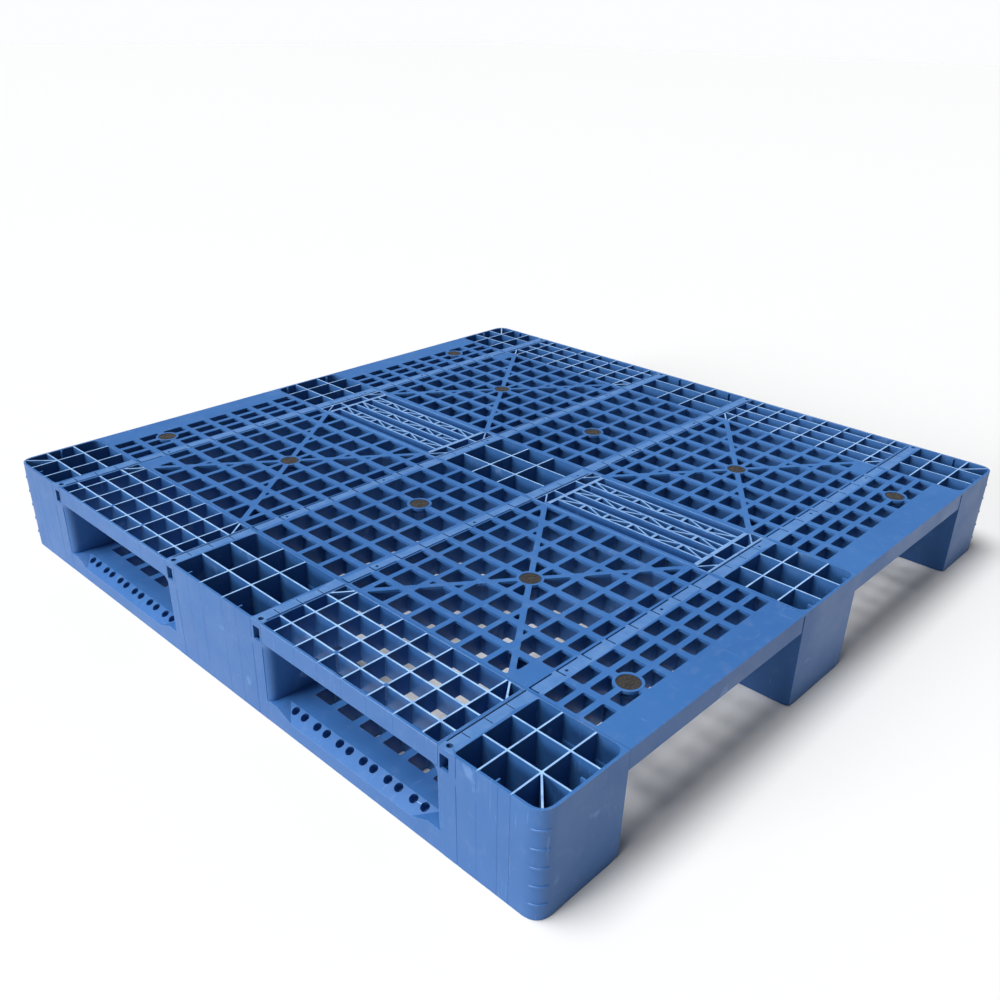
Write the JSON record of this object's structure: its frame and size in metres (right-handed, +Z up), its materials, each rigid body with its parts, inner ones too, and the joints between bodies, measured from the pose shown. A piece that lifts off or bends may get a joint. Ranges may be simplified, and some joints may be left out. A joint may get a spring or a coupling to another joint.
{
  "type": "plastic pallet",
  "caption": "Square blue plastic pallet with an open grid deck, three runners joined to the deck by legs, steel tubes laid in the deck and round anti-slip plugs.",
  "frame": {"origin": "on the ground at the middle of the pallet", "axes": "+Z up; +Y along the runners; +X along the steel tubes, across the runners"},
  "size_m": [1.2, 1.2, 0.155],
  "materials": {
    "blue_plastic": "moulded polypropylene with a fine grain",
    "galvanised_steel": "galvanised",
    "black_plastic": "matte moulded",
    "black_rubber": "matte moulded rubber"
  },
  "bodies": {
    "root": {"deck_panel_left": "blue_plastic", "deck_panel_right": "blue_plastic", "leg_front_left": "blue_plastic", "leg_front_centre": "blue_plastic", "leg_front_right": "blue_plastic", "leg_middle_left": "blue_plastic", "leg_middle_centre": "blue_plastic", "leg_middle_right": "blue_plastic", "leg_rear_left": "blue_plastic", "leg_rear_centre": "blue_plastic", "leg_rear_right": "blue_plastic", "window_span_front_left": "blue_plastic", "window_span_front_right": "blue_plastic", "ribbed_span_front": "blue_plastic", "window_span_rear_left": "blue_plastic", "window_span_rear_right": "blue_plastic", "ribbed_span_rear": "blue_plastic", "runner_left": "blue_plastic", "runner_centre": "blue_plastic", "runner_right": "blue_plastic", "cross_tube_front": "galvanised_steel", "tube_cap_front_left": "black_plastic", "tube_cap_front_right": "black_plastic", "cross_tube_front_middle": "galvanised_steel", "tube_cap_front_middle_left": "black_plastic", "tube_cap_front_middle_right": "black_plastic", "cross_tube_rear_middle": "galvanised_steel", "tube_cap_rear_middle_left": "black_plastic", "tube_cap_rear_middle_right": "black_plastic", "cross_tube_rear": "galvanised_steel", "tube_cap_rear_left": "black_plastic", "tube_cap_rear_right": "black_plastic", "anti_slip_plug_middle_left": "black_rubber", "anti_slip_plug_front_edge_left": "black_rubber", "anti_slip_plug_front_cross_left": "black_rubber", "anti_slip_plug_rear_edge_left": "black_rubber", "anti_slip_plug_rear_cross_left": "black_rubber", "anti_slip_plug_middle_right": "black_rubber", "anti_slip_plug_front_edge_right": "black_rubber", "anti_slip_plug_front_cross_right": "black_rubber", "anti_slip_plug_rear_edge_right": "black_rubber", "anti_slip_plug_rear_cross_right": "black_rubber"}
  },
  "joints": []
}
